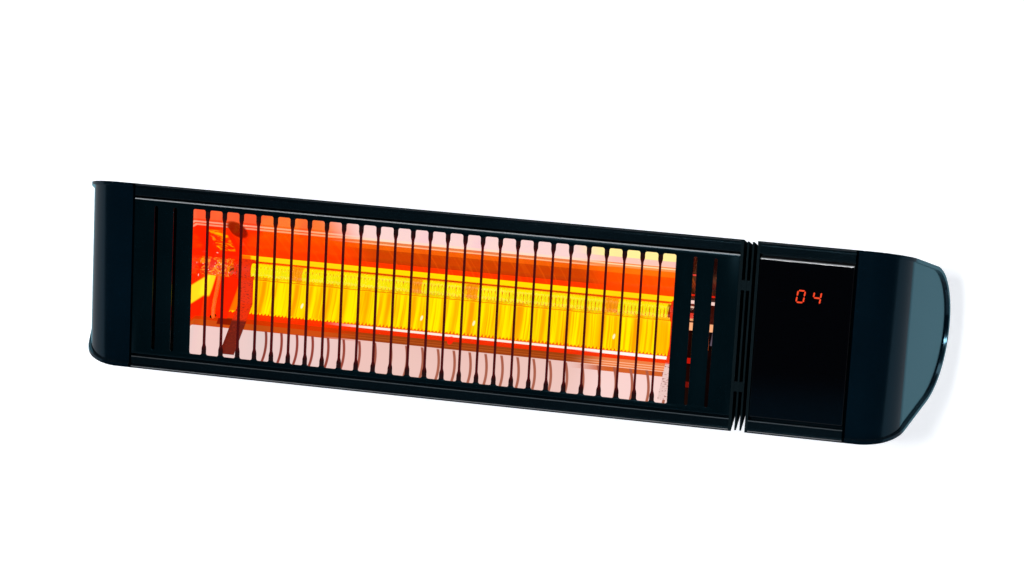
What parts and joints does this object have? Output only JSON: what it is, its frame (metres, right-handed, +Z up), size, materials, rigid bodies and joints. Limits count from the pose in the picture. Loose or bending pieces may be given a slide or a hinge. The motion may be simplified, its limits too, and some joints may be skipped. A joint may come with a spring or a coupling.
{
  "type": "electric bar heater",
  "caption": "Slim wall-mounted infrared bar heater with a quartz lamp behind a grille of twisted blades, a glass control panel and a tilting bracket.",
  "frame": {"origin": "centre of the wall bracket's back face, where it lies on the wall", "axes": "+X along the heater to the right as seen from the room, +Y into the wall, +Z up; the lamp faces -Y at rest"},
  "size_m": [0.66, 0.1856, 0.14],
  "materials": {
    "housing_coat": "fine textured powder coat",
    "panel_coat": "satin",
    "cap_coat": "satin",
    "plate_coat": "matte",
    "bracket_coat": "matte powder coat",
    "mirror_sheet": "bright rolled",
    "quartz": "clear with a ruby tint",
    "hot_coil": "glowing wire",
    "coil_ring": "hot wire",
    "ceramic": "unglazed",
    "lead_sleeve": "glass-fibre sleeve",
    "zinc_steel": "zinc plated",
    "black_glass": "polished black-backed glass",
    "black_plastic": "fine grain",
    "white_plastic": "plain",
    "blue_plastic": "plain",
    "board_green": "satin lacquer",
    "digit_red": "plain",
    "brass": "turned",
    "bare_aluminium": "extruded"
  },
  "bodies": {
    "wall_mount": {"wall_bracket": "bracket_coat", "pivot_bolts": "zinc_steel", "pivot_nuts": "zinc_steel", "friction_washers": "white_plastic"},
    "heater": {"main_housing": "housing_coat", "front_grille": "panel_coat", "reflector": "mirror_sheet", "reflector_ends": "mirror_sheet", "reflector_brackets": "zinc_steel", "lamp_tube": "quartz", "filament": "hot_coil", "filament_supports": "coil_ring", "lamp_bases": "ceramic", "lamp_holders": "ceramic", "lamp_clips": "zinc_steel", "lamp_leads": "lead_sleeve", "left_end_cap": "cap_coat", "right_end_cap": "cap_coat", "left_bulkhead": "plate_coat", "right_bulkhead": "plate_coat", "main_flange": "panel_coat", "module_flange": "panel_coat", "cooling_fins": "panel_coat", "module_housing": "housing_coat", "display_glass": "black_glass", "glass_carrier": "black_plastic", "wire_sleeve": "ceramic", "tie_screws": "zinc_steel", "tie_nuts": "zinc_steel", "flange_screws": "zinc_steel", "cap_screws": "zinc_steel", "display_board": "board_green", "digit_module": "digit_red", "remote_receiver": "black_plastic", "control_board": "board_green", "board_standoffs": "brass", "board_screws": "zinc_steel", "triac": "black_plastic", "heat_sink": "bare_aluminium", "transformer": "blue_plastic", "terminal_block": "white_plastic", "switch_body": "black_plastic", "cable_gland": "black_plastic", "gland_nut": "black_plastic", "tilt_bracket": "bracket_coat", "rail_bolts": "zinc_steel", "rail_nuts": "zinc_steel"},
    "rocker": {"switch_rocker": "black_plastic"}
  },
  "joints": [
    {"name": "tilt", "type": "hinge", "parent": "wall_mount", "child": "heater", "pos_m": [0, -0.048, 0], "axis": [1, 0, 0], "range_deg": [-45, 45]},
    {"name": "power_switch", "type": "hinge", "parent": "heater", "child": "rocker", "pos_m": [0.23225, -0.1552, -0.05852], "axis": [1, 0, 0], "range_deg": [-16, 0]}
  ]
}
